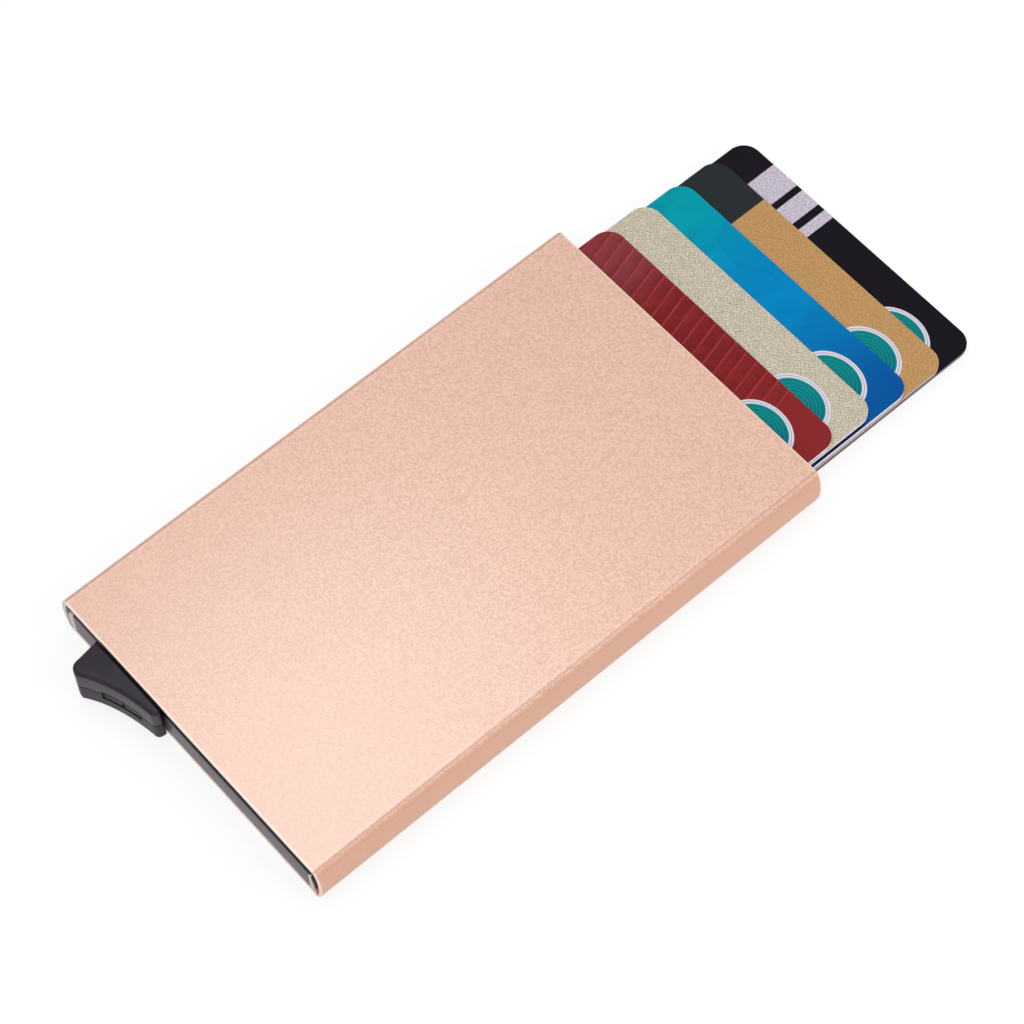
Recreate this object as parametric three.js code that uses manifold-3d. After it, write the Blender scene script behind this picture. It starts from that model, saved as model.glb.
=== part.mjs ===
// Pop up card holder, in millimetres, +Z up.
// The case lies on its back face. X runs across it, +Y points out of the mouth, and the origin is the middle
// of the underside. It is drawn as it stands with its cards fanned out: the trigger is pushed to the left.
import * as THREE from 'three';
import { mergeVertices } from 'three/addons/utils/BufferGeometryUtils.js';
import Module from 'manifold-3d';

const wasm = await Module();
wasm.setup();

// Cards
const CARD_WIDTH = 53.98;
const CARD_LENGTH = 85.6;
const CARD_THICKNESS = 0.76;
const CARD_CORNER = 3.18;
const CARD_GAP = 0.14;
const CARD_NAMES = ['card_1_red', 'card_2_beige', 'card_3_blue', 'card_4_gold', 'card_5_black'];
const CARD_COLOURS = [0x7c2326, 0xb8b090, 0x0f6fa8, 0xa98344, 0x0e0e11];
// How far the lowest card comes out, and each card's share of that, from the top card down.
const CARD_REACH = 39.2;
const CARD_REACH_SHARES = [0.24, 0.444, 0.638, 0.837, 1];
// The upper cards stand a little further to the left than the lower ones, within the rails' play.
const CARD_ASIDE = 0.42;
const CARD_ASIDE_SHARES = [1, 1, 0, 0, 0];

// Sleeve
const WALL = 1;
const SIDE_BULGE = 1.7;
const EDGE_CHAMFER = 0.16;
const END_LIP = 0.5;
const MOUTH_RECESS = 1.3;

// Card rails, spring and friction strips
const RAIL_WIDTH = 2.7;
const CARD_SIDE_PLAY = 0.51;
const CARD_REST_PLAY = 0.15;
const RAIL_START = 1.6;
const RAIL_SETBACK = 1;
const SPRING_THICKNESS = 0.25;
const SPRING_LENGTH = 16;
const SPRING_POCKET = 1;
const SPRING_SETBACK = 10;
const LOWER_STRIP = 0.6;
const UPPER_STRIP = 1.54;
const STRIP_GAP = 0.2;
const STRIP_WIDTH = 9;
const STRIP_END_GAP = 3.5;
const STRIP_SETBACK = 2.5;

// Ejector lever
const SWING = THREE.MathUtils.degToRad(58);
const PIN_DROP = 7.4;
const FORK_REACH = 8.8;
const FORK_WALL = 1;
const FORK_ROOT_GAP = 0.4;
const HUB_RADIUS = 2.4;
const NOSE_GAP = 0.3;
const NOSE_DROP = 3.5;
const NOSE_THICKNESS = 1.1;
const TIP_MARGIN = 0.4;
const BLADE_CLEARANCE = 0.1;
// The fork lies level with this many of the upper blades.
const FORK_BLADES = 2;

// Pins
const PIVOT_RADIUS = 0.9;
const DRIVE_RADIUS = 0.8;
const PIN_FIT = 0.1;
const BORE_FIT = 0.25;
const FORK_FIT = 0.3;
const WASHER_RADIUS = 2.1;
const WASHER_THICKNESS = 0.15;
const WASHER_GAP = 0.04;

// End cap
const CAP_RECESS = 0.03;
const CAP_WALL = 2.07;
const CAP_FACE_DEPTH = 1.12;
const CAP_FACE_TOP = 6.4;
const CAP_FACE_CORNER = 2.2;
const CAP_FACE_FOOT_CORNER = 1.5;
const CAP_FLOOR_GAP = 0.15;
const CAP_SIDE_WALL = 0.9;
const CAP_LEFT_GAP = 0.2;
const CAP_RIGHT_GAP = 0.55;
const CAP_REAR_GAP = 0.7;
const CAP_EDGE_ROUND = 0.3;
const COVER_GAP = 0.2;

// Slider and trigger
const SLIDER_WIDTH = 3.2;
const SLIDER_END = 1;
const STEM_WIDTH = 6.4;
const STEM_REACH = 1.6;
const TRIGGER_LENGTH = 16.2;
const TRIGGER_DEPTH = 5.85;
const TRIGGER_TAPER_DEPTH = 1.6;
const TRIGGER_SETBACK = 9.4;
const TRIGGER_OFFSET = 0.3;
const TRIGGER_INSET = 0.35;
const TRIGGER_FOOT_GAP = 0.1;
const TRIGGER_SLANT = 0.75;
const TRIGGER_SCOOP_SHARE = 0.45;
const TRIGGER_CORNER = 2.1;
const TRIGGER_END_ROUND = 1.3;
const TRIGGER_EDGE_ROUND = 0.7;
const PARTING_HEIGHT = 4.4;
const PARTING_GAP = 0.14;
const TONGUE_HEIGHT = 3.75;
const TONGUE_THICKNESS = 1.36;
const TONGUE_LENGTH = 6.45;
const TONGUE_START = 6.2;
const TONGUE_SETBACK = 0.12;
const TONGUE_FIT = 0.28;
const NOTCH_WIDTH = 0.3;
const NOTCH_ROOT = 1.9;

// Clearances
const SLIDE_FIT = 0.3;
const SEAT_GAP = 0.05;
const CUT_OVERRUN = 1;

// Fineness of round shapes
const SIDE_STEPS = 24;
const CIRCLE_STEPS = 32;
const CORNER_STEPS = 10;
const NOSE_STEPS = 8;
const SPRING_STEPS = 12;
const BEVEL_STEPS = 4;

// Sizes that follow from the ones above
const cardCount = CARD_NAMES.length;
const cardPitch = CARD_THICKNESS + CARD_GAP;
const stackHeight = CARD_THICKNESS + (cardCount - 1) * cardPitch;
const stackBottom = WALL + LOWER_STRIP + STRIP_GAP;
const stackTop = stackBottom + stackHeight;
const innerTop = stackTop + STRIP_GAP + UPPER_STRIP;
const caseHeight = innerTop + WALL;
const railFace = CARD_WIDTH / 2 + CARD_SIDE_PLAY;
const innerHalf = railFace + RAIL_WIDTH + SEAT_GAP;
const caseHalf = innerHalf + WALL;
const flatHalf = caseHalf - SIDE_BULGE;
const cardShift = CARD_SIDE_PLAY - CARD_REST_PLAY;
const stripHalf = railFace - STRIP_END_GAP;

const capInner = CAP_RECESS + CAP_WALL;
const trayFront = CAP_RECESS + CAP_FACE_DEPTH;
const pivotY = capInner + SLIDE_FIT + FORK_FIT + FORK_REACH;
const contactY = pivotY + HUB_RADIUS + NOSE_GAP;
const caseLength = contactY + CARD_LENGTH + MOUTH_RECESS;
const capHalf = innerHalf - SLIDE_FIT;
const forkHalf = DRIVE_RADIUS + FORK_FIT + FORK_WALL;
const forkSide = FORK_REACH * Math.sin(SWING / 2) + forkHalf * Math.cos(SWING / 2);
const pivotX = capHalf - CAP_SIDE_WALL - SLIDE_FIT - forkSide;
const tipRadius = pivotX + CARD_WIDTH / 2 - cardShift - TIP_MARGIN;

const sliderTravel = 2 * PIN_DROP * Math.tan(SWING / 2);
const pinX = pivotX - sliderTravel / 2;
const pinY = pivotY - PIN_DROP;
const bladeBottom = stackBottom - BLADE_CLEARANCE;
const capFloorTop = bladeBottom - CAP_FLOOR_GAP;
const coverBottom = bladeTop(1) + WASHER_THICKNESS + 2 * WASHER_GAP;
const forkBottom = bladeTop(1 + FORK_BLADES);
const sliderBottom = capFloorTop + SLIDE_FIT;
const sliderTop = forkBottom - SLIDE_FIT;
const capBack = contactY - CAP_REAR_GAP;

const triggerLeft = TRIGGER_SETBACK - caseHalf;
const stemLeft = triggerLeft + 2 * SLIDE_FIT;

// Card 1 is the top card and card 5 the lowest.
function cardBottom(number) {
  return stackBottom + (cardCount - number) * cardPitch;
}

function cardReach(number) {
  return CARD_REACH * CARD_REACH_SHARES[number - 1];
}

function cardMiddle(number) {
  return cardShift - CARD_ASIDE * CARD_ASIDE_SHARES[number - 1];
}

function bladeTop(number) {
  return cardBottom(number) + CARD_THICKNESS + CARD_GAP / 2;
}

// Materials
function finish(color, roughness, metalness) {
  return new THREE.MeshStandardMaterial({ color, roughness, metalness });
}

function anodisedRoseGold() {
  return finish(0xe6b79e, 0.45, 0.85);
}

function blackPlastic() {
  return finish(0x2c2a2d, 0.5, 0);
}

function blackCapPlastic() {
  return finish(0x3a393d, 0.45, 0);
}

function whitePlastic() {
  return finish(0xd9d6d0, 0.55, 0);
}

function polishedSteel() {
  return finish(0xb9bcc0, 0.25, 1);
}

function softFoam() {
  return finish(0x1f1f21, 0.95, 0);
}

function cardPlastic(color) {
  return finish(color, 0.35, 0);
}

// Solids
function solidOf(geometry) {
  geometry.deleteAttribute('normal');
  geometry.deleteAttribute('uv');
  const merged = mergeVertices(geometry);
  return new wasm.Manifold(new wasm.Mesh({
    numProp: 3,
    vertProperties: new Float32Array(merged.attributes.position.array),
    triVerts: new Uint32Array(merged.index.array),
  }));
}

function geometryOf(solid) {
  const mesh = solid.getMesh();
  const geometry = new THREE.BufferGeometry();
  geometry.setAttribute('position', new THREE.BufferAttribute(mesh.vertProperties, mesh.numProp));
  geometry.setIndex(new THREE.BufferAttribute(mesh.triVerts, 1));
  geometry.computeVertexNormals();
  return geometry;
}

function block(x0, x1, y0, y1, z0, z1) {
  const geometry = new THREE.BoxGeometry(x1 - x0, y1 - y0, z1 - z0);
  geometry.translate((x0 + x1) / 2, (y0 + y1) / 2, (z0 + z1) / 2);
  return solidOf(geometry);
}

function rodGeometry(radius, x, y, z0, z1) {
  const geometry = new THREE.CylinderGeometry(radius, radius, z1 - z0, CIRCLE_STEPS);
  geometry.rotateX(Math.PI / 2);
  geometry.translate(x, y, (z0 + z1) / 2);
  return geometry;
}

function rod(radius, x, y, z0, z1) {
  return solidOf(rodGeometry(radius, x, y, z0, z1));
}

// A flat outline in X and Y, given height along Z.
function slabGeometry(shape, z0, z1) {
  const geometry = new THREE.ExtrudeGeometry(shape, {
    depth: z1 - z0,
    bevelEnabled: false,
    curveSegments: CORNER_STEPS,
  });
  geometry.translate(0, 0, z0);
  return geometry;
}

function slab(shape, z0, z1) {
  return solidOf(slabGeometry(shape, z0, z1));
}

// The same with its long edges rounded over.
function roundedSlab(shape, z0, z1, round) {
  const geometry = new THREE.ExtrudeGeometry(shape, {
    depth: z1 - z0 - 2 * round,
    bevelEnabled: true,
    bevelThickness: round,
    bevelSize: round,
    bevelOffset: -round,
    bevelSegments: BEVEL_STEPS,
    curveSegments: CORNER_STEPS,
  });
  geometry.translate(0, 0, z0 + round);
  return solidOf(geometry);
}

// A section drawn in X and Z, run along Y.
function runAlongY(geometry, y1) {
  geometry.rotateX(Math.PI / 2);
  geometry.translate(0, y1, 0);
  return geometry;
}

function section(shape, y0, y1) {
  const geometry = new THREE.ExtrudeGeometry(shape, { depth: y1 - y0, bevelEnabled: false });
  return solidOf(runAlongY(geometry, y1));
}

function roundedSection(shape, y0, y1, round) {
  const geometry = new THREE.ExtrudeGeometry(shape, {
    depth: y1 - y0 - 2 * round,
    bevelEnabled: true,
    bevelThickness: round,
    bevelSize: round,
    bevelOffset: -round,
    bevelSegments: BEVEL_STEPS,
  });
  return solidOf(runAlongY(geometry, y1 - round));
}

// One rounded side, half an ellipse from its top crease down to its bottom one. The inset is the gap to the
// case's flat faces.
function sidePoints(inset, half, bulge) {
  const points = [];
  const middle = caseHeight / 2;
  const rise = middle - inset;
  for (let step = 0; step <= SIDE_STEPS; step += 1) {
    const angle = Math.PI * (0.5 - step / SIDE_STEPS);
    points.push([half - bulge + bulge * Math.cos(angle), middle + rise * Math.sin(angle)]);
  }
  return points;
}

function sideToSideShape(right) {
  const shape = new THREE.Shape();
  const left = right.map(([x, z]) => [-x, z]).reverse();
  for (const [index, [x, z]] of [...right, ...left].entries()) {
    if (index) {
      shape.lineTo(x, z);
    } else {
      shape.moveTo(x, z);
    }
  }
  shape.closePath();
  return shape;
}

// The case's own outline, set in evenly all round.
function caseShape(inset) {
  return sideToSideShape(sidePoints(inset, caseHalf - inset, SIDE_BULGE - inset));
}

// Case
function caseSleeve() {
  const outline = caseShape(0);
  const bore = caseShape(WALL);
  const shell = roundedSection(outline, 0, caseLength, EDGE_CHAMFER);
  return geometryOf(
    shell.subtract(section(bore, -CUT_OVERRUN, caseLength + CUT_OVERRUN)).subtract(endRebate()),
  );
}

// Above its floor, from the left crease to the right end, the wall is thinned from inside at the closed end,
// and leaves a lip over the end cap.
function endRebate() {
  const room = section(caseShape(END_LIP), -CUT_OVERRUN, trayFront);
  return room.intersect(block(-flatHalf, caseHalf, -CUT_OVERRUN, trayFront, WALL, caseHeight));
}

// A rail fills one rounded side of the sleeve, from the cards' edges out to the wall.
function rail(side) {
  const whole = section(caseShape(WALL + SEAT_GAP), contactY + RAIL_START, caseLength - RAIL_SETBACK);
  const inner = side * railFace;
  const outer = side * (caseHalf + CUT_OVERRUN);
  const keep = block(
    Math.min(inner, outer),
    Math.max(inner, outer),
    0,
    caseLength,
    -CUT_OVERRUN,
    caseHeight + CUT_OVERRUN,
  );
  return whole.intersect(keep);
}

function rightCardRail() {
  return geometryOf(rail(1));
}

const springMiddle = caseLength - SPRING_SETBACK - SPRING_LENGTH / 2;
const springBottom = stackBottom + CARD_GAP;
const springTop = stackTop - CARD_GAP;

function leftCardRail() {
  const pocket = block(
    -railFace - SPRING_POCKET,
    -railFace + CUT_OVERRUN,
    springMiddle - SPRING_LENGTH / 2 - SLIDE_FIT,
    springMiddle + SPRING_LENGTH / 2 + SLIDE_FIT,
    springBottom - SLIDE_FIT,
    springTop + SLIDE_FIT,
  );
  return geometryOf(rail(-1).subtract(pocket));
}

// A leaf bowed along Y, its ends on the pocket's floor and its crown on the edges of the furthest cards.
function cardSideSpring() {
  const foot = -railFace - SPRING_POCKET + SEAT_GAP;
  const crown = cardMiddle(1) - CARD_WIDTH / 2 - SEAT_GAP - SPRING_THICKNESS;
  const height = crown - foot;
  const near = [];
  const far = [];
  for (let step = 0; step <= SPRING_STEPS; step += 1) {
    const along = step / SPRING_STEPS;
    const y = springMiddle + (along - 0.5) * SPRING_LENGTH;
    const x = foot + height * Math.sin(Math.PI * along) ** 2;
    near.push(new THREE.Vector2(x, y));
    far.unshift(new THREE.Vector2(x + SPRING_THICKNESS, y));
  }
  return slabGeometry(new THREE.Shape([...near, ...far]), springBottom, springTop);
}

function frictionStrip(z0, z1) {
  const back = caseLength - STRIP_SETBACK - STRIP_WIDTH;
  return geometryOf(block(-stripHalf, stripHalf, back, back + STRIP_WIDTH, z0, z1));
}

function lowerFrictionStrip() {
  return frictionStrip(WALL + SEAT_GAP, WALL + LOWER_STRIP);
}

function upperFrictionStrip() {
  return frictionStrip(innerTop - UPPER_STRIP, innerTop - SEAT_GAP);
}

// Cards
function cardShape() {
  const half = CARD_WIDTH / 2;
  const r = CARD_CORNER;
  const shape = new THREE.Shape();
  shape.moveTo(-half + r, 0);
  shape.lineTo(half - r, 0);
  shape.absarc(half - r, r, r, -Math.PI / 2, 0, false);
  shape.absarc(half - r, CARD_LENGTH - r, r, 0, Math.PI / 2, false);
  shape.absarc(-half + r, CARD_LENGTH - r, r, Math.PI / 2, Math.PI, false);
  shape.absarc(-half + r, r, r, Math.PI, Math.PI * 1.5, false);
  shape.closePath();
  return shape;
}

function card() {
  return geometryOf(slab(cardShape(), 0, CARD_THICKNESS));
}

// Ejector lever, drawn about its pivot with its arm along -X, as it lies when the cards are in.
// The nose of each blade is an involute, so that its card moves in step with the lever's angle.
function noseReach(number) {
  return cardReach(number) / SWING;
}

function nosePoint(number, angle) {
  const reach = noseReach(number);
  const height = HUB_RADIUS + reach * angle;
  return new THREE.Vector2(
    -height * Math.sin(angle) - reach * Math.cos(angle),
    height * Math.cos(angle) - reach * Math.sin(angle),
  );
}

// The nose stops where it would reach the side of the case, or drop too near the slider.
function noseAngle(number) {
  const allowed = (angle) => {
    const point = nosePoint(number, angle);
    return point.length() <= tipRadius && point.y >= -NOSE_DROP;
  };
  let low = 0;
  let high = SWING;
  if (allowed(high)) {
    return high;
  }
  for (let halving = 0; halving < CIRCLE_STEPS; halving += 1) {
    const middle = (low + high) / 2;
    if (allowed(middle)) {
      low = middle;
    } else {
      high = middle;
    }
  }
  return low;
}

function bladeShape(number) {
  const last = noseAngle(number);
  const points = [new THREE.Vector2(0, HUB_RADIUS)];
  for (let step = 0; step <= NOSE_STEPS; step += 1) {
    points.push(nosePoint(number, last * step / NOSE_STEPS));
  }
  const tip = points[points.length - 1];
  points.push(new THREE.Vector2(tip.x + NOSE_THICKNESS / 2, tip.y - NOSE_THICKNESS));
  points.push(new THREE.Vector2(0, -HUB_RADIUS));
  return new THREE.Shape(points);
}

function fork() {
  const shape = new THREE.Shape([
    new THREE.Vector2(-forkHalf, 0),
    new THREE.Vector2(-forkHalf, -FORK_REACH),
    new THREE.Vector2(forkHalf, -FORK_REACH),
    new THREE.Vector2(forkHalf, 0),
  ]);
  const slotHalf = DRIVE_RADIUS + FORK_FIT;
  const slotRoot = PIN_DROP - DRIVE_RADIUS - FORK_ROOT_GAP;
  const slot = block(
    -slotHalf,
    slotHalf,
    -FORK_REACH - CUT_OVERRUN,
    -slotRoot,
    forkBottom - CUT_OVERRUN,
    bladeTop(1) + CUT_OVERRUN,
  );
  return slab(shape, forkBottom, bladeTop(1))
    .subtract(slot)
    .rotate([0, 0, THREE.MathUtils.radToDeg(SWING / 2)]);
}

function ejectorLever() {
  let lever = rod(HUB_RADIUS, 0, 0, bladeBottom, bladeTop(1)).add(fork());
  for (let number = 1; number <= cardCount; number += 1) {
    lever = lever.add(slab(bladeShape(number), bladeBottom, bladeTop(number)));
  }
  const bore = rod(
    PIVOT_RADIUS + BORE_FIT,
    0,
    0,
    bladeBottom - CUT_OVERRUN,
    stackTop + CUT_OVERRUN,
  );
  return geometryOf(lever.subtract(bore));
}

function pivotPin() {
  return rodGeometry(PIVOT_RADIUS, pivotX, pivotY, WALL + SEAT_GAP, innerTop - SEAT_GAP);
}

function pivotWasher() {
  const bottom = bladeTop(1) + WASHER_GAP;
  const disc = rod(WASHER_RADIUS, pivotX, pivotY, bottom, bottom + WASHER_THICKNESS);
  const hole = rod(PIVOT_RADIUS + PIN_FIT, pivotX, pivotY, 0, caseHeight);
  return geometryOf(disc.subtract(hole));
}

function drivePin() {
  return rodGeometry(DRIVE_RADIUS, pinX, pinY, sliderBottom + SEAT_GAP, bladeTop(1));
}

// End cap: a face plate in front, and a wall, a floor and two side walls behind it.
function faceShape() {
  const left = CAP_LEFT_GAP - innerHalf;
  const right = innerHalf - CAP_RIGHT_GAP;
  const bottom = WALL + SEAT_GAP;
  const r = CAP_FACE_CORNER;
  const foot = CAP_FACE_FOOT_CORNER;
  const shape = new THREE.Shape();
  shape.moveTo(left + foot, bottom);
  shape.lineTo(right - foot, bottom);
  shape.absarc(right - foot, bottom + foot, foot, -Math.PI / 2, 0, false);
  shape.absarc(right - r, CAP_FACE_TOP - r, r, 0, Math.PI / 2, false);
  shape.absarc(left + r, CAP_FACE_TOP - r, r, Math.PI / 2, Math.PI, false);
  shape.absarc(left + foot, bottom + foot, foot, Math.PI, Math.PI * 1.5, false);
  shape.closePath();
  return shape;
}

function trayShape() {
  return sideToSideShape(sidePoints(WALL + SEAT_GAP, capHalf, capHalf - flatHalf));
}

function sliderSlot() {
  return block(
    stemLeft - SLIDE_FIT,
    stemLeft + STEM_WIDTH + sliderTravel + SLIDE_FIT,
    -CUT_OVERRUN,
    capInner + CUT_OVERRUN,
    sliderBottom - SLIDE_FIT,
    sliderTop + SLIDE_FIT,
  );
}

function endCapBody() {
  const face = roundedSection(faceShape(), CAP_RECESS, capInner, CAP_EDGE_ROUND);
  const tray = section(trayShape(), trayFront, capBack);
  const hollow = block(
    CAP_SIDE_WALL - capHalf,
    capHalf - CAP_SIDE_WALL,
    capInner,
    capBack + CUT_OVERRUN,
    capFloorTop,
    caseHeight,
  );
  const pinHole = rod(PIVOT_RADIUS + PIN_FIT, pivotX, pivotY, 0, bladeBottom);
  return geometryOf(face.add(tray).subtract(hollow).subtract(sliderSlot()).subtract(pinHole));
}

function endCapCover() {
  const plate = block(
    CAP_SIDE_WALL - capHalf + COVER_GAP,
    capHalf - CAP_SIDE_WALL - COVER_GAP,
    capInner + COVER_GAP,
    capBack,
    coverBottom,
    innerTop - SEAT_GAP,
  );
  const pinHole = rod(PIVOT_RADIUS + PIN_FIT, pivotX, pivotY, coverBottom - CUT_OVERRUN, caseHeight);
  return geometryOf(plate.subtract(pinHole));
}

// Trigger: a wedge, deep at its outer end and scooped down to a thin one, in two shells round the slider.
function triggerShape() {
  const left = triggerLeft;
  const right = left + TRIGGER_LENGTH;
  const back = CUT_OVERRUN;
  const peak = -TRIGGER_DEPTH - TRIGGER_OFFSET;
  const low = -TRIGGER_TAPER_DEPTH - TRIGGER_OFFSET;
  const scoop = left + TRIGGER_LENGTH * TRIGGER_SCOOP_SHARE;
  const shape = new THREE.Shape();
  shape.moveTo(left, back);
  shape.lineTo(left + TRIGGER_SLANT, peak + TRIGGER_CORNER);
  shape.quadraticCurveTo(left + TRIGGER_SLANT, peak, left + TRIGGER_SLANT + TRIGGER_CORNER, peak);
  shape.quadraticCurveTo(scoop, (peak + low + TRIGGER_CORNER) / 2, right - TRIGGER_END_ROUND, low);
  shape.quadraticCurveTo(right, low, right, low + TRIGGER_END_ROUND);
  shape.lineTo(right, back);
  shape.closePath();
  return shape;
}

function triggerWedge() {
  return roundedSlab(triggerShape(), TRIGGER_FOOT_GAP, caseHeight - TRIGGER_INSET, TRIGGER_EDGE_ROUND);
}

function triggerLayer(z0, z1) {
  return block(
    triggerLeft - CUT_OVERRUN,
    triggerLeft + TRIGGER_LENGTH + CUT_OVERRUN,
    -TRIGGER_DEPTH - CUT_OVERRUN,
    -TRIGGER_OFFSET,
    z0,
    z1,
  );
}

// The stem goes out through the slot, and its tongue ends in the little slot in the parting line.
function stem(grow) {
  return block(
    stemLeft - grow,
    stemLeft + STEM_WIDTH + grow,
    -TRIGGER_OFFSET - STEM_REACH - grow,
    pinY,
    sliderBottom - grow,
    sliderTop + grow,
  );
}

function tongueSpace(grow) {
  return block(
    triggerLeft + TONGUE_START - grow,
    triggerLeft + TONGUE_START + TONGUE_LENGTH + grow,
    -TRIGGER_DEPTH - CUT_OVERRUN,
    -TRIGGER_OFFSET + grow,
    TONGUE_HEIGHT - TONGUE_THICKNESS / 2 - grow,
    TONGUE_HEIGHT + TONGUE_THICKNESS / 2 + grow,
  );
}

// The tongue's root lies along the top of the stem.
function tongueRoot(grow) {
  return block(
    stemLeft - grow,
    triggerLeft + TONGUE_START + TONGUE_LENGTH + grow,
    -TRIGGER_OFFSET - STEM_REACH - grow,
    -TRIGGER_OFFSET + grow,
    TONGUE_HEIGHT - TONGUE_THICKNESS / 2 - grow,
    TONGUE_HEIGHT + TONGUE_THICKNESS / 2 + grow,
  );
}

// A notch from the front parts the tongue's end in two.
function tongue() {
  const wedge = slab(triggerShape(), 0, caseHeight).translate([0, TONGUE_SETBACK, 0]);
  const middle = triggerLeft + TONGUE_START + TONGUE_LENGTH / 2;
  const notch = block(
    middle - NOTCH_WIDTH / 2,
    middle + NOTCH_WIDTH / 2,
    -TRIGGER_DEPTH - CUT_OVERRUN,
    -TRIGGER_OFFSET - NOTCH_ROOT,
    0,
    caseHeight,
  );
  return wedge.intersect(tongueSpace(0)).subtract(notch).add(tongueRoot(0));
}

function sliderBar() {
  const bar = block(
    stemLeft,
    pinX + DRIVE_RADIUS + SLIDER_END,
    pinY - SLIDER_WIDTH / 2,
    pinY + SLIDER_WIDTH / 2,
    sliderBottom,
    sliderTop,
  );
  const pinHole = rod(DRIVE_RADIUS + PIN_FIT, pinX, pinY, sliderBottom - CUT_OVERRUN, sliderTop + CUT_OVERRUN);
  return geometryOf(bar.add(stem(0)).add(tongue()).subtract(pinHole));
}

function triggerShell(z0, z1) {
  const shell = triggerWedge().intersect(triggerLayer(z0, z1));
  return geometryOf(
    shell.subtract(stem(SEAT_GAP)).subtract(tongueRoot(SEAT_GAP)).subtract(tongueSpace(TONGUE_FIT)),
  );
}

function triggerUpperShell() {
  return triggerShell(PARTING_HEIGHT + PARTING_GAP / 2, caseHeight);
}

function triggerLowerShell() {
  return triggerShell(0, PARTING_HEIGHT - PARTING_GAP / 2);
}

// Assembly
const holder = new THREE.Group();
const assembly = new THREE.Group();
assembly.position.y = -caseLength / 2;
holder.add(assembly);

function place(name, geometry, material, parent = assembly) {
  const mesh = new THREE.Mesh(geometry, material);
  mesh.name = name;
  parent.add(mesh);
  return mesh;
}

place('case_sleeve', caseSleeve(), anodisedRoseGold());
place('left_card_rail', leftCardRail(), blackPlastic());
place('right_card_rail', rightCardRail(), blackPlastic());
place('card_side_spring', cardSideSpring(), polishedSteel());
place('lower_friction_strip', lowerFrictionStrip(), softFoam());
place('upper_friction_strip', upperFrictionStrip(), softFoam());

place('end_cap_body', endCapBody(), blackCapPlastic());
place('end_cap_cover', endCapCover(), blackCapPlastic());
place('pivot_pin', pivotPin(), polishedSteel());
place('pivot_washer', pivotWasher(), polishedSteel());
place('slider_bar', sliderBar(), blackPlastic());
place('drive_pin', drivePin(), polishedSteel());
place('trigger_upper_shell', triggerUpperShell(), blackPlastic());
place('trigger_lower_shell', triggerLowerShell(), blackPlastic());

// The lever is swung open about its pivot.
const pivot = new THREE.Group();
pivot.position.set(pivotX, pivotY, 0);
pivot.rotation.z = -SWING;
assembly.add(pivot);
place('ejector_lever', ejectorLever(), whitePlastic(), pivot);

for (const [index, name] of CARD_NAMES.entries()) {
  const number = index + 1;
  const mesh = place(name, card(), cardPlastic(CARD_COLOURS[index]));
  mesh.position.set(cardMiddle(number), contactY + cardReach(number), cardBottom(number));
}

export default holder;
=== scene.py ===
"""Looks of a pop up card holder: an anodised aluminium sleeve with five cards fanned out of its mouth."""

import math

import bmesh
import bpy
from mathutils import Matrix, Vector


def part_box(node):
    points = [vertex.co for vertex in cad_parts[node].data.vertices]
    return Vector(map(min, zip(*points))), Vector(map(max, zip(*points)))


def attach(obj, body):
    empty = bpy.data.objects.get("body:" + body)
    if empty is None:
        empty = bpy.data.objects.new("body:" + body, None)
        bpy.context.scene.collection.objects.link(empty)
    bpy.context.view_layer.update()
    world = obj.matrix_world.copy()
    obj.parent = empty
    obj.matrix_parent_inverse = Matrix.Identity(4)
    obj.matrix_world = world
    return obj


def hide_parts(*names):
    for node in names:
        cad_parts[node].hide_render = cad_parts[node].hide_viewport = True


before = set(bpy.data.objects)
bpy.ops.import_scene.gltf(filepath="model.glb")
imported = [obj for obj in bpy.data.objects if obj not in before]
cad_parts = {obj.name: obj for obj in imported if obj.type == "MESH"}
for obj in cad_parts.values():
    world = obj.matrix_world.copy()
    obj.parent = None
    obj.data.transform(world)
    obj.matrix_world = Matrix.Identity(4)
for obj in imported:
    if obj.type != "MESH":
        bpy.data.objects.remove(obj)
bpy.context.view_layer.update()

MM = 0.001

# The camera, as it was fitted to the photograph's straight edges and corner outlines
CAMERA_AZIMUTH = math.radians(51.478)
CAMERA_ELEVATION = math.radians(60.809)
CAMERA_ROLL = math.radians(-2.923)
CAMERA_DISTANCE = 516.824 * MM
CAMERA_AIM = Vector((1.758, 12.31, 4.0)) * MM
CAMERA_LENS = 116.6
CAMERA_SENSOR = 36
CAMERA_NEAR = 0.01
CAMERA_FAR = 20

# How steep an edge may be and still be shaded smooth
SMOOTH_BELOW = math.radians(32)

# What counts as one point and as one flat face when a CAD mesh is merged
SAME_POINT = 0.0005 * MM
SAME_PLANE = math.radians(0.5)


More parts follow.
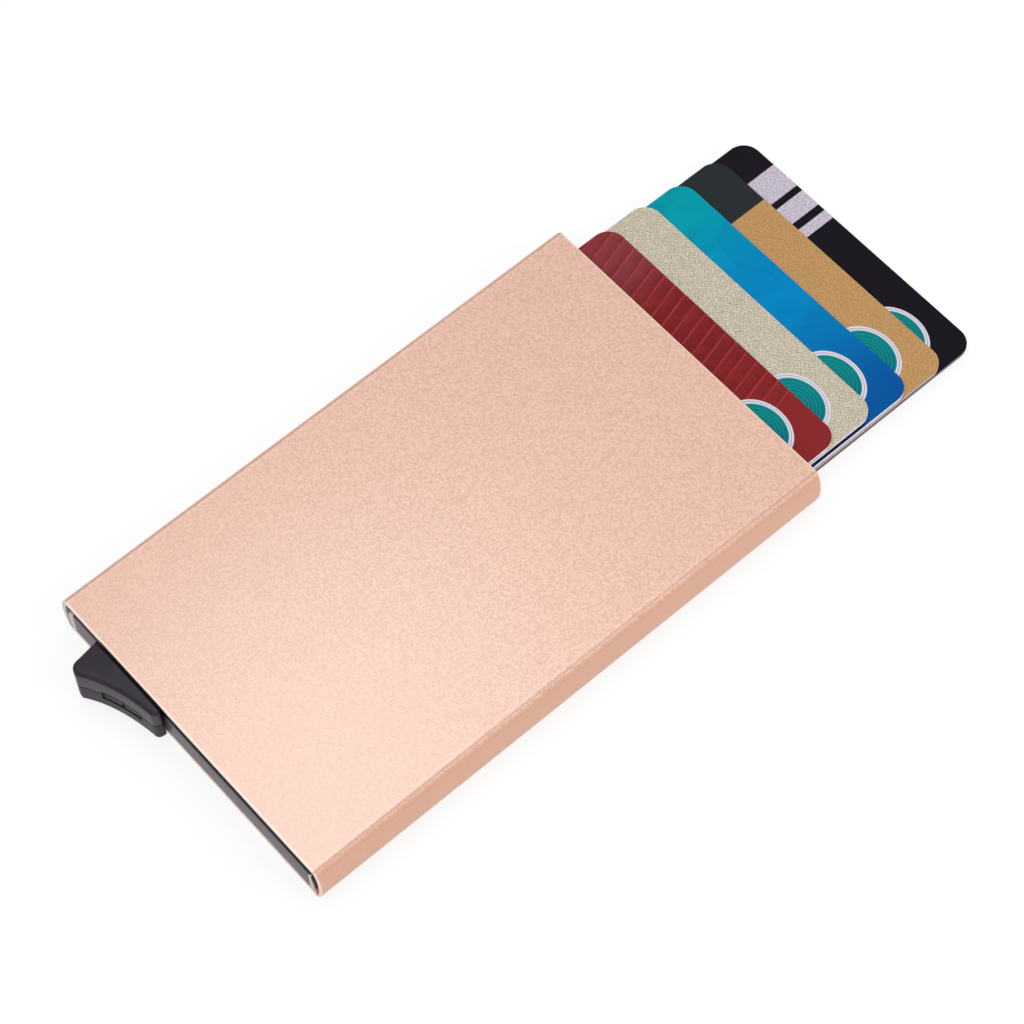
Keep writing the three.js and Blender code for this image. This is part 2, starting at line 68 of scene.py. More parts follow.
class Wire:
    """One shader socket, so that masks and heights are written as plain sums."""

    def __init__(self, finish, socket):
        self.finish = finish
        self.socket = socket

    def worked(self, operation, *values):
        return self.finish.node("ShaderNodeMath", {"operation": operation}, values)

    def __add__(self, other):
        return self.worked("ADD", self, other)

    def __radd__(self, other):
        return self.worked("ADD", other, self)

    def __sub__(self, other):
        return self.worked("SUBTRACT", self, other)

    def __rsub__(self, other):
        return self.worked("SUBTRACT", other, self)

    def __mul__(self, other):
        return self.worked("MULTIPLY", self, other)

    def __rmul__(self, other):
        return self.worked("MULTIPLY", other, self)

    def __truediv__(self, other):
        return self.worked("DIVIDE", self, other)

    def __mod__(self, other):
        return self.worked("FLOORED_MODULO", self, other)

    def __pow__(self, other):
        return self.worked("POWER", self, other)

    def __lt__(self, other):
        return self.worked("LESS_THAN", self, other)

    def __gt__(self, other):
        return self.worked("GREATER_THAN", self, other)

    def __neg__(self):
        return self.worked("MULTIPLY", self, -1)

    def __abs__(self):
        return self.worked("ABSOLUTE", self)

    def floor(self):
        return self.worked("FLOOR", self)

    def larger(self, other):
        return self.worked("MAXIMUM", self, other)

    def rise(self, start, end):
        """0 before start, 1 after end, and smooth between them."""
        return self.finish.node(
            "ShaderNodeMapRange",
            {"interpolation_type": "SMOOTHSTEP"},
            {"Value": self, "From Min": start, "From Max": end},
        )

    def fall(self, start, end):
        """1 before start, 0 after end, and smooth between them."""
        return 1 - self.rise(start, end)


class Finish:
    """A material that is being made."""

    def __init__(self, name):
        self.material = bpy.data.materials.new(name)
        self.material.use_nodes = True
        self.tree = self.material.node_tree
        self.shader = self.tree.nodes["Principled BSDF"]
        self.end = self.tree.nodes["Material Output"]

    def node(self, kind, settings=None, values=(), output=0):
        """Adds a node. Its settings come first, then what goes into its sockets, by number or by name."""
        made = self.tree.nodes.new(kind)
        for key, value in (settings or {}).items():
            setattr(made, key, value)
        pairs = values.items() if isinstance(values, dict) else enumerate(values)
        for key, value in pairs:
            self.feed(made.inputs[key], value)
        return Wire(self, made.outputs[output])

    def feed(self, socket, value):
        if isinstance(value, Wire):
            self.tree.links.new(value.socket, socket)
        elif socket.type == "RGBA" and len(value) == 3:
            socket.default_value = (*value, 1)
        else:
            socket.default_value = value

    def mix(self, share, first, second):
        """A colour between two others. A Mix node's colours are its inputs 6 and 7 and its output 2."""
        return self.node("ShaderNodeMix", {"data_type": "RGBA"}, {0: share, 6: first, 7: second}, 2)

    def place(self, offset=(0, 0, 0)):
        """Where a point is, in millimetres from the offset, which is in metres."""
        here = self.node("ShaderNodeTexCoord", output="Object")
        moved = self.node("ShaderNodeVectorMath", {"operation": "SUBTRACT"}, [here, tuple(offset)])
        return self.node("ShaderNodeMapping", None, {"Vector": moved, "Scale": (1 / MM, 1 / MM, 1 / MM)})

    def axes(self, place):
        """The three numbers of a place."""
        split = self.node("ShaderNodeSeparateXYZ", None, [place])
        return [Wire(self, output) for output in split.socket.node.outputs]

    def noise(self, place, scale, detail=2, roughness=0.5):
        return self.node(
            "ShaderNodeTexNoise",
            {"normalize": True},
            {"Vector": place, "Scale": scale, "Detail": detail, "Roughness": roughness},
        )

    def bump(self, height, distance, strength=1):
        return self.node(
            "ShaderNodeBump", None, {"Height": height, "Distance": distance, "Strength": strength}
        )

    def set(self, **values):
        """Sets the shader's sockets. An underscore stands for a space in a socket's name."""
        for key, value in values.items():
            self.feed(self.shader.inputs[key.replace("_", " ")], value)
        return self.material


def srgb(red, green, blue):
    """A colour as a screen shows it, from 0 to 255, as the linear one that a shader takes."""
    return tuple(
        part / 12.92 if part <= 0.04045 else ((part + 0.055) / 1.055) ** 2.4
        for part in (red / 255, green / 255, blue / 255)
    )


def grey(level):
    return srgb(level, level, level)


# The case, in millimetres: where its flat faces end, from the middle, and how far outside that its painted
# reflection bands lie
FLAT_HALF = 29.55
DARK_LINE_OUT = 0.3
LIGHT_BAND_OUT = 0.65
SHADE_BAND_OUT = 1.05

# How deep the pale bare-metal colour goes into the closed end, in millimetres; at the left only, as a painted
# reflection
PALE_FADES_FROM = 3
PALE_ENDS_AT = 4

# The case's grain
CASE_GRAIN_SCALE = 2.05
CASE_FINE_SCALE = 3.2
CASE_GRAIN_HEIGHT = 0.05 * MM


def rose_gold_anodising():
    """Blasted and dyed aluminium: a fine uneven grain, painted highlights along its cut ends and just inside
    its creases, painted reflection bands outside them (a dark line, a light band and a faint shade band), and
    at the left of the closed end a pale bare-metal colour on the wall inside it and on its cut edge, painted
    as a reflection."""
    finish = Finish("rose_gold_anodising")
    place = finish.place()
    across, along, up = finish.axes(place)
    low, high = (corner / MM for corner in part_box("case_sleeve"))
    grain = finish.noise(place, CASE_GRAIN_SCALE, 1, 0.7)
    fine = finish.noise(place, CASE_FINE_SCALE, 1, 0.5)
    cloud = finish.noise(place, 0.06)
    inside = FLAT_HALF - abs(across)
    flat = inside.rise(-0.7, -0.1)
    blasted = inside.rise(-1.1, -0.6) * (0.6 + 0.4 * along.rise(-45, 15))
    pits = fine.fall(0.25, 0.34) * blasted
    speck = 0.5 + ((grain * 0.5 + fine * 0.5).rise(0.38, 0.62) - 0.5) * (0.2 + blasted)
    colour = finish.mix(speck, srgb(207, 159, 134), srgb(227, 179, 154))
    colour = finish.mix(cloud * 0.2, colour, srgb(216, 168, 144))
    colour = finish.mix(pits * 0.42, colour, srgb(182, 134, 112))

    from_end = (high.y - low.y) / 2 - abs(along - (high.y + low.y) / 2)
    # Painted highlight along the cut ends, strongest at the closed end, where the sheen falls
    cut_end_highlight = from_end.fall(0.15, 0.4) * (0.3 + 0.35 * along.fall(low.y, high.y))
    colour = finish.mix(cut_end_highlight, colour, srgb(252, 232, 222))
    # Painted highlight just inside the creases, where the top starts to curve
    crease_highlight = inside.rise(0, 0.12) * inside.fall(0.15, 0.6) * (0.6 + 0.4 * grain.rise(0.4, 0.6))
    colour = finish.mix(crease_highlight * 0.15, colour, srgb(250, 222, 210))
    # Painted reflection bands outside the creases: a dark line, a light band and a faint shade band
    ragged = inside + DARK_LINE_OUT + (grain - 0.5) * 0.3
    painted_dark_line = abs(ragged).fall(0.08, 0.22) * (0.5 + 0.5 * fine.rise(0.4, 0.6))
    colour = finish.mix(painted_dark_line * 0.7, colour, srgb(160, 116, 102))
    painted_light_band = abs(inside + LIGHT_BAND_OUT).fall(0.05, 0.2) * fine.rise(0.4, 0.6)
    colour = finish.mix(painted_light_band * 0.12, colour, srgb(250, 214, 196))
    painted_shade_band = abs(inside + SHADE_BAND_OUT).fall(0.05, 0.2)
    colour = finish.mix(painted_shade_band * 0.15, colour, srgb(188, 140, 120))

    round_side = (0 - inside).larger(0) / (high.x - FLAT_HALF)
    lift = (up - high.z / 2) / (high.z / 2)
    bore = (round_side * round_side + lift * lift).fall(0.88, 0.92)
    depth = along - low.y
    # Bare-metal colour on the inner wall and cut edge, painted pale at the left only as a reflection of the
    # white floor
    wall = bore * depth.rise(0.02, 0.08) * depth.fall(PALE_FADES_FROM, PALE_ENDS_AT) * (across < 0)
    pale_cut_edge = (0 - across).rise(FLAT_HALF - 0.3, FLAT_HALF + 0.1) * depth.fall(0.08, 0.16)
    colour = finish.mix(wall.larger(pale_cut_edge), colour, srgb(206, 200, 192))
    return finish.set(
        Base_Color=colour,
        Metallic=0.5 - 0.2 * flat,
        Roughness=0.5 + 0.12 * fine,
        Normal=finish.bump((grain + fine) * (0.04 + 0.16 * blasted), CASE_GRAIN_HEIGHT),
        Coat_Weight=0.1 + 0.5 * flat,
        Coat_Roughness=0.39,
        Coat_IOR=2.5,
    )


# The black mouldings' grain and clouds
MOULD_GRAIN_SCALE = 7
MOULD_GRAIN_HEIGHT = 0.012 * MM
MOULD_CLOUD_SCALE = 0.4


def moulded(finish, place, dark, light, roughness):
    """Gives a black moulding the fine spark-eroded grain of its tool, and returns its cloudy colour."""
    grain = finish.noise(place, MOULD_GRAIN_SCALE, 3, 0.6)
    cloud = finish.noise(place, MOULD_CLOUD_SCALE)
    finish.set(
        Roughness=roughness + 0.12 * (cloud - 0.5),
        Normal=finish.bump(grain, MOULD_GRAIN_HEIGHT, 0.6),
    )
    return finish.mix(cloud.rise(0.3, 0.7), dark, light)


def rail_plastic():
    finish = Finish("rail_moulding")
    colour = moulded(finish, finish.place(), srgb(44, 43, 46), srgb(52, 51, 54), 0.5)
    return finish.set(Base_Color=colour, Specular_IOR_Level=0.5)


# Where the trigger's front ends and its top begins, in millimetres above the case's foot
FRONT_TO = 7.6
TOP_FROM = 8.2

# The seams in the trigger's front: lengths are in millimetres from its left end, heights from the case's foot
SEAM_HEIGHT = 4.4
SEAM_HALF = 0.15
TONGUE_MIDDLE = 9.425
TONGUE_HEIGHT = 3.75
TONGUE_HALF_LENGTH = 3.225
TONGUE_HALF_HEIGHT = 0.68
TONGUE_RIM_ABOVE = 0.82
TONGUE_RIM_BELOW = 0.34

# How far in the painted shadow along the trigger's back reaches, in millimetres
BACK_SHADOW = 0.4


def trigger_plastic():
    """Black plastic that gleams most on its front above the parting line, with its front painted lighter than
    its top, painted shade in the seams of the front and a painted shadow along the back."""
    finish = Finish("trigger_moulding")
    place = finish.place()
    across, along, up = finish.axes(place)
    low, high = (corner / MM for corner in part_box("trigger_upper_shell"))
    colour = moulded(finish, place, srgb(32, 24, 33), srgb(38, 29, 39), 0.42)
    front = up.fall(FRONT_TO, TOP_FROM)
    # The front is painted lighter than the top, as a lit side of the same plastic
    colour = finish.mix(front, colour, srgb(54, 45, 56))
    lift = up - SEAM_HEIGHT
    aside = abs(across - low.x - TONGUE_MIDDLE)
    length = aside - TONGUE_HALF_LENGTH
    height = abs(up - TONGUE_HEIGHT) - TONGUE_HALF_HEIGHT
    outside = length.larger(height)
    rim = TONGUE_RIM_BELOW + (TONGUE_RIM_ABOVE - TONGUE_RIM_BELOW) * (up > TONGUE_HEIGHT)
    edge = (length - TONGUE_RIM_BELOW).larger(height - rim)
    # Painted shade in the gaps round the tongue and along the parting line, and a painted shadow along the
    # back, under the case's lip
    slot = outside.rise(-0.08, 0) * edge.fall(-0.1, 0)
    divider_shade = aside.fall(0.12, 0.22) * height.fall(-0.05, 0.05)
    parting_shade = abs(lift).fall(SEAM_HALF * 0.6, SEAM_HALF) * outside.rise(0, 0.1)
    back = along.rise(high.y - BACK_SHADOW, high.y - BACK_SHADOW / 2)
    seam = slot.larger(divider_shade).larger(parting_shade).larger(back)
    gleam = 0.4 + front * (0.42 * lift.rise(-0.1, 0.1) - 0.27)
    return finish.set(
        Base_Color=finish.mix(seam, colour, srgb(6, 4, 6)),
        Specular_IOR_Level=0.05,
        Coat_Weight=gleam * (1 - seam),
        Coat_Roughness=0.42,
        Coat_IOR=1.5,
    )


# How high the cap's face reaches and where its painted highlight starts, in millimetres above the case's foot
CAP_FACE_TOP = 6.4
CAP_HIGHLIGHT_FROM = 4

# Across the cap, in millimetres from the middle: where its ends are painted pale as a highlight and
# reflection, and where the painted shade reaches lower
CAP_PALE_FROM = 28.35
CAP_SHADE_FROM = -14
CAP_SHADE_TO = -6


def cap_plastic():
    """Black plastic with a painted highlight and reflection at the two ends of its face, a painted highlight
    towards the face's top, and painted shade above the face and beside its right end."""
    finish = Finish("cap_moulding")
    place = finish.place()
    across, along, up = finish.axes(place)
    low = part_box("end_cap_body")[0] / MM
    colour = moulded(finish, place, srgb(62, 46, 58), srgb(72, 55, 68), 0.42)
    # Painted highlight: the face grows lighter towards its top
    colour = finish.mix(up.rise(CAP_HIGHLIGHT_FROM, CAP_FACE_TOP) * 0.4, colour, srgb(104, 90, 100))
    # Painted highlight and reflection at the two ends of the face
    streak = finish.noise(place, 1.6, 3)
    end = (abs(across) + 0.4 * (streak - 0.5)).rise(CAP_PALE_FROM, CAP_PALE_FROM + 0.15)
    face = (along - low.y).fall(0.5, 0.8)
    colour = finish.mix(end * face * 0.85, colour, srgb(206, 199, 196))
    # Painted shade above the face, under the case's lip, reaching lower near the trigger, and in the gap
    # beside the face's right end
    highlight_to = CAP_PALE_FROM + 0.45 + 0.18 * (CAP_FACE_TOP - up)
    shade_reach = 0.45 * across.rise(CAP_SHADE_FROM, CAP_SHADE_TO)
    painted_shade = (up - CAP_FACE_TOP + shade_reach).rise(-0.1, 0.1).larger((across - highlight_to).rise(0, 0.1))
    return finish.set(Base_Color=finish.mix(painted_shade, colour, srgb(12, 8, 11)), Specular_IOR_Level=0.5)


def ground_steel():
    finish = Finish("ground_steel")
    place = finish.place()
    up = finish.axes(place)[2]
    rings = finish.noise(finish.node("ShaderNodeCombineXYZ", None, [0.0, 0.0, up]), 14)
    wear = finish.noise(place, 1.2, 3)
    return finish.set(
        Base_Color=finish.mix(wear.rise(0.4, 0.8), grey(188), grey(160)),
        Metallic=1,
        Roughness=0.22 + 0.2 * rings,
        Normal=finish.bump(rings, 0.006 * MM, 0.5),
    )


def slippery_plastic():
    finish = Finish("natural_acetal")
    place = finish.place()
    grain = finish.noise(place, 3, 3)
    cloud = finish.noise(place, 0.15)
    return finish.set(
        Base_Color=finish.mix(cloud, srgb(214, 209, 199), srgb(224, 220, 212)),
        Roughness=0.4 + 0.15 * grain,
        Normal=finish.bump(grain, 0.01 * MM, 0.5),
        Subsurface_Weight=0.1,
        Subsurface_Radius=(1 * MM, 0.8 * MM, 0.6 * MM),
    )


def closed_cell_foam():
    finish = Finish("closed_cell_foam")
    cells = finish.node("ShaderNodeTexVoronoi", {"feature": "F1"}, {"Vector": finish.place(), "Scale": 3.5})
    return finish.set(
        Base_Color=finish.mix(cells, grey(30), grey(62)),
        Roughness=0.95,
        Normal=finish.bump(cells, 0.08 * MM, 0.8),
    )


# Printed cards, in millimetres: across from the left edge, down from the far end, and the front's relief
PRINT_RELIEF = 0.03
WAVE_RELIEF = 0.01
PATCH_ACROSS = 44.5
PATCH_DOWN = 8.6
PATCH_HALF_WIDTH = 6.2
PATCH_HALF_HEIGHT = 4.9
RED_LINE_STEP = 2.42
RED_LINES_END = 43
WEAVE_STEP = 1.1
# Where the painted shadow down the blue card's right edge lies
SHADOW_LINE_ACROSS = 53.15
SHADOW_LINE_DOWN = 9.5
SLATE_WIDTH = 11.45
STRIPE_ACROSS = 10.9
STRIPE_HALF_WIDTH = 6.4
PANEL_ACROSS = 26
PANEL_DOWN = 42
PANEL_HALF_WIDTH = 5
PANEL_HALF_LENGTH = 30

# The middle and the half width of each silver bar, and how far down they reach, in millimetres
BARS = ((9.8, 2.8), (15.8, 1.9), (20.2, 1))
BARS_END = 6.2

# How many rings the patch has, how uneven the weave is, and the folds' scale and turn
PATCH_RINGS = 9
WEAVE_RUFFLE = 1.1
FOLD_SCALE = 0.13
FOLD_TURN = 0.6


def card_corner(name):
    """The card's own corner: the far left one, on its top face."""
    low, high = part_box(name)
    return Vector((low.x, high.y, high.z))


def card_edge(name, core):
    """The card's cut edge: a plain core between two thin darker films."""
    finish = Finish(name + "_edge")
    low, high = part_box(name)
    place = finish.place((0, 0, low.z))
    up = finish.axes(place)[2]
    thickness = (high.z - low.z) / MM
    film = abs(up / thickness - 0.5).rise(0.36, 0.42)
    streak = finish.noise(place, 1.4)
    colour = finish.mix(film, core, tuple(0.6 * part for part in core))
    return finish.set(
        Base_Color=finish.mix(streak.rise(0.4, 0.7) * 0.3, colour, tuple(0.7 * part for part in core)),
        Roughness=0.5 + 0.2 * streak,
        Specular_IOR_Level=0.2,
    )


def card_front(name, print_of):
    """A printed and laminated front. print_of gives its colour and its relief."""
    finish = Finish(name + "_print")
    place = finish.place(card_corner(name))
    across, along = finish.axes(place)[:2]
    down = -along
    colour, height = print_of(finish, place, across, down)
    patch, foil = foil_patch(finish, across, down)
    wave = finish.noise(place, 0.25)
    scuff = finish.noise(place, 2.5, 4, 0.7)
    surface = height * PRINT_RELIEF * (1 - patch) + wave * WAVE_RELIEF
    return finish.set(
        Base_Color=finish.mix(patch, colour, foil),
        Roughness=0.34 + 0.12 * scuff,
        Normal=finish.bump(surface, 1 * MM, 0.5),
        Specular_IOR_Level=0.04,
    )


def foil_patch(finish, across, down):
    """Where the plain oval foil patch is, and its colour: a pale double rim round a teal field of fine
    rings."""
    u = (across - PATCH_ACROSS) / PATCH_HALF_WIDTH
    v = (down - PATCH_DOWN) / PATCH_HALF_HEIGHT
    radius = (u * u + v * v) ** 0.5
    patch = radius.fall(0.99, 1.01)
    rim = radius.rise(0.85, 0.87)
    seam = abs(radius - 0.93).fall(0.01, 0.025)
    rings = (radius * PATCH_RINGS) % 1.0 - 0.5
    ring = abs(rings).fall(0.02, 0.2) * radius.rise(0.1, 0.2)
    side = (u * 0.5 + v * 0.3 + 0.5).rise(0.1, 0.9)
    field = finish.mix(side, srgb(0, 118, 118), srgb(0, 100, 112))
    field = finish.mix(ring * 0.16, field, srgb(96, 186, 182))
    border = finish.mix(seam, srgb(206, 202, 212), srgb(168, 158, 172))
    return patch, finish.mix(rim, field, border)


def red_print(finish, place, across, down):
    """Dark red pleats between thin lighter lines that lean a little, and a plain corner at the right."""
    lean = 0.3 - 0.0013 * across
    ray = across - down * lean
    step = (ray / RED_LINE_STEP) % 1.0
    lined = ray.fall(RED_LINES_END - 0.1, RED_LINES_END)
    shade = finish.noise(place, 0.22, 3, 0.6)
    fold = finish.noise(place, 0.8, 2, 0.6)
    line = abs(step - 0.5).fall(0.01, 0.11) * (0.45 + 0.55 * shade.rise(0.35, 0.6))
    pleat = ((step + 0.5) % 1.0).rise(0.1, 1.0) * (0.5 + fold.rise(0.35, 0.65))
    middle = abs(across - 24).fall(4, 22) * shade.rise(0.3, 0.6)
    base = finish.mix(abs(across - 6).fall(2, 12), srgb(127, 37, 39), srgb(128, 54, 60))
    base = finish.mix(pleat * lined * 0.35, base, srgb(96, 22, 28))
    base = finish.mix(middle * lined * 0.35, base, srgb(92, 22, 28))
    return finish.mix(line * lined * 0.55, base, srgb(176, 62, 66)), 0.0


def beige_print(finish, place, across, down):
    """A basket weave of short crossing strokes, in pairs."""
    ruffle = finish.noise(place, 0.9)
    wander = finish.noise(place, 1.6)
    u = (across + down) / WEAVE_STEP + ruffle * WEAVE_RUFFLE
    w = (across - down) / WEAVE_STEP + wander * WEAVE_RUFFLE
    over = (u.floor() + w.floor()) % 2.0
    strand_u = abs((u * 2) % 1.0 - 0.5).fall(0.1, 0.45)
    strand_w = abs((w * 2) % 1.0 - 0.5).fall(0.1, 0.45)
    cell = finish.node("ShaderNodeCombineXYZ", None, [(u * 2).floor(), (w * 2).floor(), 0.0])
    chance = finish.node("ShaderNodeTexWhiteNoise", {"noise_dimensions": "2D"}, {"Vector": cell})
    height = (strand_u * over + strand_w * (1 - over)) * (0.6 + 0.4 * chance)
    tint = finish.noise(place, 1.3).rise(0.35, 0.65)
    light = finish.mix(tint, srgb(222, 206, 194), srgb(206, 198, 178))
    dark = finish.mix(tint, srgb(150, 136, 117), srgb(156, 152, 126))
    return finish.mix(height, dark, light), height


def blue_print(finish, place, across, down):
    """Teal that runs through to blue, with faint folds like crumpled foil and a painted shadow down its right
    edge, where the card above shades it."""
    base = finish.mix((across / 27).rise(0.0, 1.0), srgb(0, 148, 155), srgb(0, 127, 182))
    base = finish.mix((across / 54).rise(0.45, 1.0), base, srgb(6, 74, 144))
    turned = finish.node("ShaderNodeMapping", None, {"Vector": place, "Rotation": (0, 0, FOLD_TURN)})
    facets = {"Vector": turned, "Scale": FOLD_SCALE}
    tint = finish.axes(finish.node("ShaderNodeTexVoronoi", {"feature": "F1"}, facets, "Color"))[0]
    rim = finish.node("ShaderNodeTexVoronoi", {"feature": "DISTANCE_TO_EDGE"}, facets)
    bent = finish.noise(turned, 0.12)
    fold = rim.fall(0, 0.12) * bent.rise(0.4, 0.6)
    base = finish.mix(tint * 0.22, base, srgb(0, 88, 140))
    base = finish.mix(fold * 0.14, base, srgb(0, 74, 124))
    # Painted shadow down the right edge, cast by the card above
    beside = across.rise(SHADOW_LINE_ACROSS, SHADOW_LINE_ACROSS + 0.15)
    below = down.rise(SHADOW_LINE_DOWN, SHADOW_LINE_DOWN + 1.5)
    return finish.mix(beside * below * 0.9, base, srgb(8, 10, 44)), bent


def gold_print(finish, place, across, down):
    """A dark slate panel at the left and a grained gold one at the right."""
    panel = across.rise(SLATE_WIDTH - 0.05, SLATE_WIDTH + 0.05)
    grain = finish.noise(place, 3.2, 3, 0.7)
    flake = finish.noise(place, 5, 1).rise(0.66, 0.72)
    gold = finish.mix(grain.rise(0.35, 0.65), srgb(162, 121, 75), srgb(187, 146, 98))
    gold = finish.mix(flake * 0.5, gold, srgb(226, 186, 122))
    return finish.mix(panel, srgb(38, 42, 45), gold), grain


def black_print(finish, place, across, down):
    """Black with three plain silver bars."""
    grain = finish.noise(place, 3, 3, 0.7)
    silver = finish.mix(grain.rise(0.35, 0.65), srgb(162, 150, 164), srgb(204, 194, 206))
    first, second, third = (
        abs(across - middle).fall(half - 0.03, half + 0.03) for middle, half in BARS
    )
    bars = first.larger(second).larger(third) * down.fall(BARS_END, BARS_END + 0.1)
    return finish.mix(bars, srgb(22, 19, 26), silver), grain


def card_back(name):
    """A plain back with the dark stripe that is read by swiping, and a pale signing panel."""
    finish = Finish(name + "_back")
    place = finish.place(card_corner(name))
    across, along = finish.axes(place)[:2]
    down = -along
    stripe = abs(across - STRIPE_ACROSS).fall(STRIPE_HALF_WIDTH - 0.1, STRIPE_HALF_WIDTH)
    panel_width = abs(across - PANEL_ACROSS).fall(PANEL_HALF_WIDTH - 0.1, PANEL_HALF_WIDTH)
    panel_length = abs(down - PANEL_DOWN).fall(PANEL_HALF_LENGTH - 0.1, PANEL_HALF_LENGTH)
    grain = finish.noise(place, 2, 3)
    base = finish.mix(grain, srgb(206, 206, 208), srgb(214, 214, 216))
    base = finish.mix(panel_width * panel_length, base, srgb(236, 234, 226))
    return finish.set(Base_Color=finish.mix(stripe, base, srgb(34, 26, 24)), Roughness=0.35 + 0.1 * grain)


WHITE_CORE = srgb(232, 226, 232)
# The gold and black cards' cores are painted darker, as shade on the edges of the lower cards in the stack
GREY_CORE = srgb(190, 172, 174)
BLACK_CORE = srgb(120, 106, 108)
CARDS = (
    ("card_1_red", "red_card", red_print, WHITE_CORE),
    ("card_2_beige", "beige_card", beige_print, WHITE_CORE),
    ("card_3_blue", "blue_card", blue_print, WHITE_CORE),
    ("card_4_gold", "gold_card", gold_print, GREY_CORE),
    ("card_5_black", "black_card", black_print, BLACK_CORE),
)


# Meshes

def mesh_piece(name, build, body, replaces):
    """A finished piece that takes the place of CAD nodes, made of what build leaves in a bmesh."""
    shape = bmesh.new()
    build(shape)
    for edge in shape.edges:
        edge.smooth = len(edge.link_faces) == 2 and edge.calc_face_angle(0) < SMOOTH_BELOW
    for face in shape.faces:
        face.smooth = True
    mesh = bpy.data.meshes.new(name)
    shape.to_mesh(mesh)
    shape.free()
    piece = bpy.data.objects.new(name, mesh)
    bpy.context.scene.collection.objects.link(piece)
    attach(piece, body)
    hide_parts(*replaces)
    return piece


def merged_piece(name, node, body, material):
    """A piece of the CAD node's own shape, with its loose triangles merged and its flat faces made whole."""

    def build(shape):
        shape.from_mesh(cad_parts[node].data)
        bmesh.ops.remove_doubles(shape, verts=shape.verts, dist=SAME_POINT)
        bmesh.ops.dissolve_limit(
            shape, angle_limit=SAME_PLANE, verts=shape.verts, edges=shape.edges, delimit={"NORMAL"}
        )

    mesh_piece(name, build, body, [node]).data.materials.append(material)


def dress(node, material):
    """Gives a CAD node that is shown as it is its finish."""
    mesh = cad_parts[node].data
    mesh.materials.clear()
    mesh.materials.append(material)


CARD_CORNER = 3.18 * MM
CARD_CORNER_STEPS = 10
CARD_RIM = 0.06 * MM
CARD_RIM_STEPS = 2
FRONT_MATERIAL = 0
EDGE_MATERIAL = 1
BACK_MATERIAL = 2


def rounded_edges(shape, edges, offset, steps):
    bmesh.ops.bevel(
        shape, geom=edges, offset=offset, segments=steps, affect="EDGES", profile=0.5, material=-1
    )


def card_mesh(node):
    """A plate with round corners and slightly rounded rims, in three materials."""
    low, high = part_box(node)

    def build(shape):
        bmesh.ops.create_cube(shape, size=1)
        bmesh.ops.scale(shape, vec=high - low, verts=shape.verts)
        bmesh.ops.translate(shape, vec=(low + high) / 2, verts=shape.verts)
        upright = [e for e in shape.edges if abs(e.verts[0].co.z - e.verts[1].co.z) > CARD_RIM]
        rounded_edges(shape, upright, CARD_CORNER, CARD_CORNER_STEPS)
        flats = [f for f in shape.faces if abs(f.normal.z) > 0.9]
        rims = list({e for f in flats for e in f.edges})
        rounded_edges(shape, rims, CARD_RIM, CARD_RIM_STEPS)
        for face in shape.faces:
            if face.normal.z > 0.5:
                face.material_index = FRONT_MATERIAL
            elif face.normal.z < -0.5:
                face.material_index = BACK_MATERIAL
            else:
                face.material_index = EDGE_MATERIAL

    return build


def make_cards():
    for number, (node, slot, print_of, core) in enumerate(CARDS, start=1):
        piece = mesh_piece(f"printed_card_{number}", card_mesh(node), f"card_{number}", [node])
        for material in (card_front(node, print_of), card_edge(node, core), card_back(node)):
            piece.data.materials.append(material)


def make_case():
    finish = rose_gold_anodising()
    merged_piece("anodised_sleeve", "case_sleeve", "holder", finish)


def make_mouldings():
    cap = cap_plastic()
    trigger = trigger_plastic()
    rail = rail_plastic()
    for node, slot, body, material in (
        ("end_cap_body", "cap_plastic", "holder", cap),
        ("trigger_upper_shell", "trigger_plastic", "trigger", trigger),
        ("trigger_lower_shell", "trigger_plastic", "trigger", trigger),
    ):
        merged_piece(node + "_moulding", node, body, material)
    for node in ("left_card_rail", "right_card_rail"):
        dress(node, rail)
    dress("end_cap_cover", cap)
    dress("slider_bar", trigger)


def make_inside():
    steel = ground_steel()
    for node in ("pivot_pin", "drive_pin", "pivot_washer", "card_side_spring"):
        dress(node, steel)
    dress("ejector_lever", slippery_plastic())
    foam = closed_cell_foam()
    for node in ("lower_friction_strip", "upper_friction_strip"):
        dress(node, foam)


# The studio, in metres
STUDIO_RADIUS = 2.6
STUDIO_WALL = 1.1
STUDIO_COVE = 0.7
STUDIO_COVE_STEPS = 12
STUDIO_SIDES = 64
FLOOR_DROP = 0.05 * MM

# Its light: the paper's own glow, the air, and each lamp's name, place, size, power in watts and colour
WHITE = (1, 1, 1)
PAPER_GLOW_SHARE = 0.8
AIR_LIGHT = 0.71
LAMPS = (
    ("sheen_softbox", (-0.17, 0.02, 0.62), 0.3, 0.85, (0.78, 0.91, 1.0)),
    ("side_softbox", (0.51, 0.22, 0.49), 0.3, 1.0, WHITE),
    ("fill_softbox", (0.2, -0.25, 1.0), 0.9, 3.2, WHITE),
)


def studio_paper():
    """White to the camera and in reflections, with the object's shadow left on it."""
    finish = Finish("studio_paper")
    finish.set(Base_Color=(0.9, 0.9, 0.9), Roughness=0.9, Specular_IOR_Level=0.1)
    glow = finish.node("ShaderNodeEmission", None, {"Color": WHITE, "Strength": 1})
    seen = finish.node("ShaderNodeLightPath", output="Is Camera Ray")
    mirrored = finish.node("ShaderNodeLightPath", output="Is Glossy Ray")
    clear = finish.node("ShaderNodeLightPath", output="Is Transmission Ray")
    share = PAPER_GLOW_SHARE * seen.larger(mirrored).larger(clear)
    both = finish.node("ShaderNodeMixShader", None, [share, Wire(finish, finish.shader.outputs[0]), glow])
    finish.tree.links.new(both.socket, finish.end.inputs["Surface"])
    return finish.material


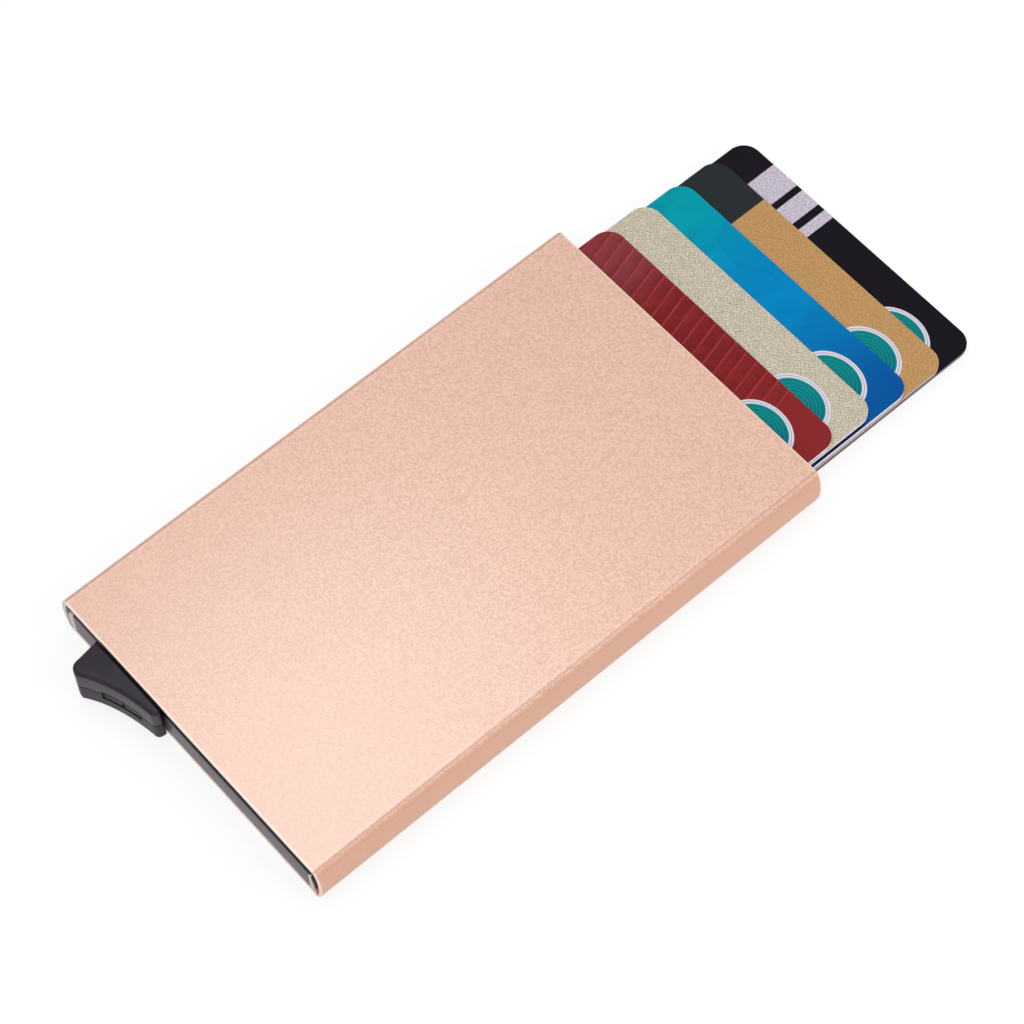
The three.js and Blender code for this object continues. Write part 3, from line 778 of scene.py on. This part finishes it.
def make_studio():
    """A round floor that curves up into a low wall."""
    shape = bmesh.new()
    bmesh.ops.create_circle(shape, cap_ends=True, radius=STUDIO_RADIUS, segments=STUDIO_SIDES)
    corner = list(shape.edges)
    wall = bmesh.ops.extrude_edge_only(shape, edges=corner)
    rim = [v for v in wall["geom"] if isinstance(v, bmesh.types.BMVert)]
    bmesh.ops.translate(shape, vec=(0, 0, STUDIO_WALL), verts=rim)
    rounded_edges(shape, corner, STUDIO_COVE, STUDIO_COVE_STEPS)
    bmesh.ops.translate(shape, vec=(0, 0, -FLOOR_DROP), verts=shape.verts)
    bmesh.ops.recalc_face_normals(shape, faces=shape.faces)
    for face in shape.faces:
        face.smooth = True
    mesh = bpy.data.meshes.new("studio_floor")
    shape.to_mesh(mesh)
    shape.free()
    floor = bpy.data.objects.new("studio_floor", mesh)
    bpy.context.scene.collection.objects.link(floor)
    mesh.materials.append(studio_paper())


def make_air():
    """Even light from all round, above the studio's wall."""
    world = bpy.data.worlds.new("studio_air")
    bpy.context.scene.world = world
    world.use_nodes = True
    air = world.node_tree.nodes["Background"]
    air.inputs["Color"].default_value = (*WHITE, 1)
    air.inputs["Strength"].default_value = AIR_LIGHT


def make_lamps():
    """Square lamps that look at the middle of the case."""
    for name, place, size, power, colour in LAMPS:
        data = bpy.data.lights.new(name, "AREA")
        data.shape = "SQUARE"
        data.size = size
        data.energy = power
        data.color = colour
        lamp = bpy.data.objects.new(name, data)
        bpy.context.scene.collection.objects.link(lamp)
        lamp.location = place
        lamp.rotation_mode = "QUATERNION"
        lamp.rotation_quaternion = Vector(place).to_track_quat("Z", "Y")


def make_camera():
    data = bpy.data.cameras.new("photo_camera")
    data.sensor_width = CAMERA_SENSOR
    data.lens = CAMERA_LENS
    data.clip_start = CAMERA_NEAR
    data.clip_end = CAMERA_FAR
    camera = bpy.data.objects.new("photo_camera", data)
    bpy.context.scene.collection.objects.link(camera)
    flat = math.cos(CAMERA_ELEVATION)
    back = Vector(
        (math.sin(CAMERA_AZIMUTH) * flat, -math.cos(CAMERA_AZIMUTH) * flat, math.sin(CAMERA_ELEVATION))
    )
    right = Vector((math.cos(CAMERA_AZIMUTH), math.sin(CAMERA_AZIMUTH), 0))
    up = back.cross(right)
    turned_right = right * math.cos(CAMERA_ROLL) + up * math.sin(CAMERA_ROLL)
    turned_up = up * math.cos(CAMERA_ROLL) - right * math.sin(CAMERA_ROLL)
    place = CAMERA_AIM + back * CAMERA_DISTANCE
    camera.matrix_world = Matrix(
        (
            (turned_right.x, turned_up.x, back.x, place.x),
            (turned_right.y, turned_up.y, back.y, place.y),
            (turned_right.z, turned_up.z, back.z, place.z),
            (0, 0, 0, 1),
        )
    )
    bpy.context.scene.camera = camera


bpy.context.scene.view_settings.view_transform = "Standard"
make_case()
make_mouldings()
make_inside()
make_cards()
make_studio()
make_air()
make_lamps()
make_camera()
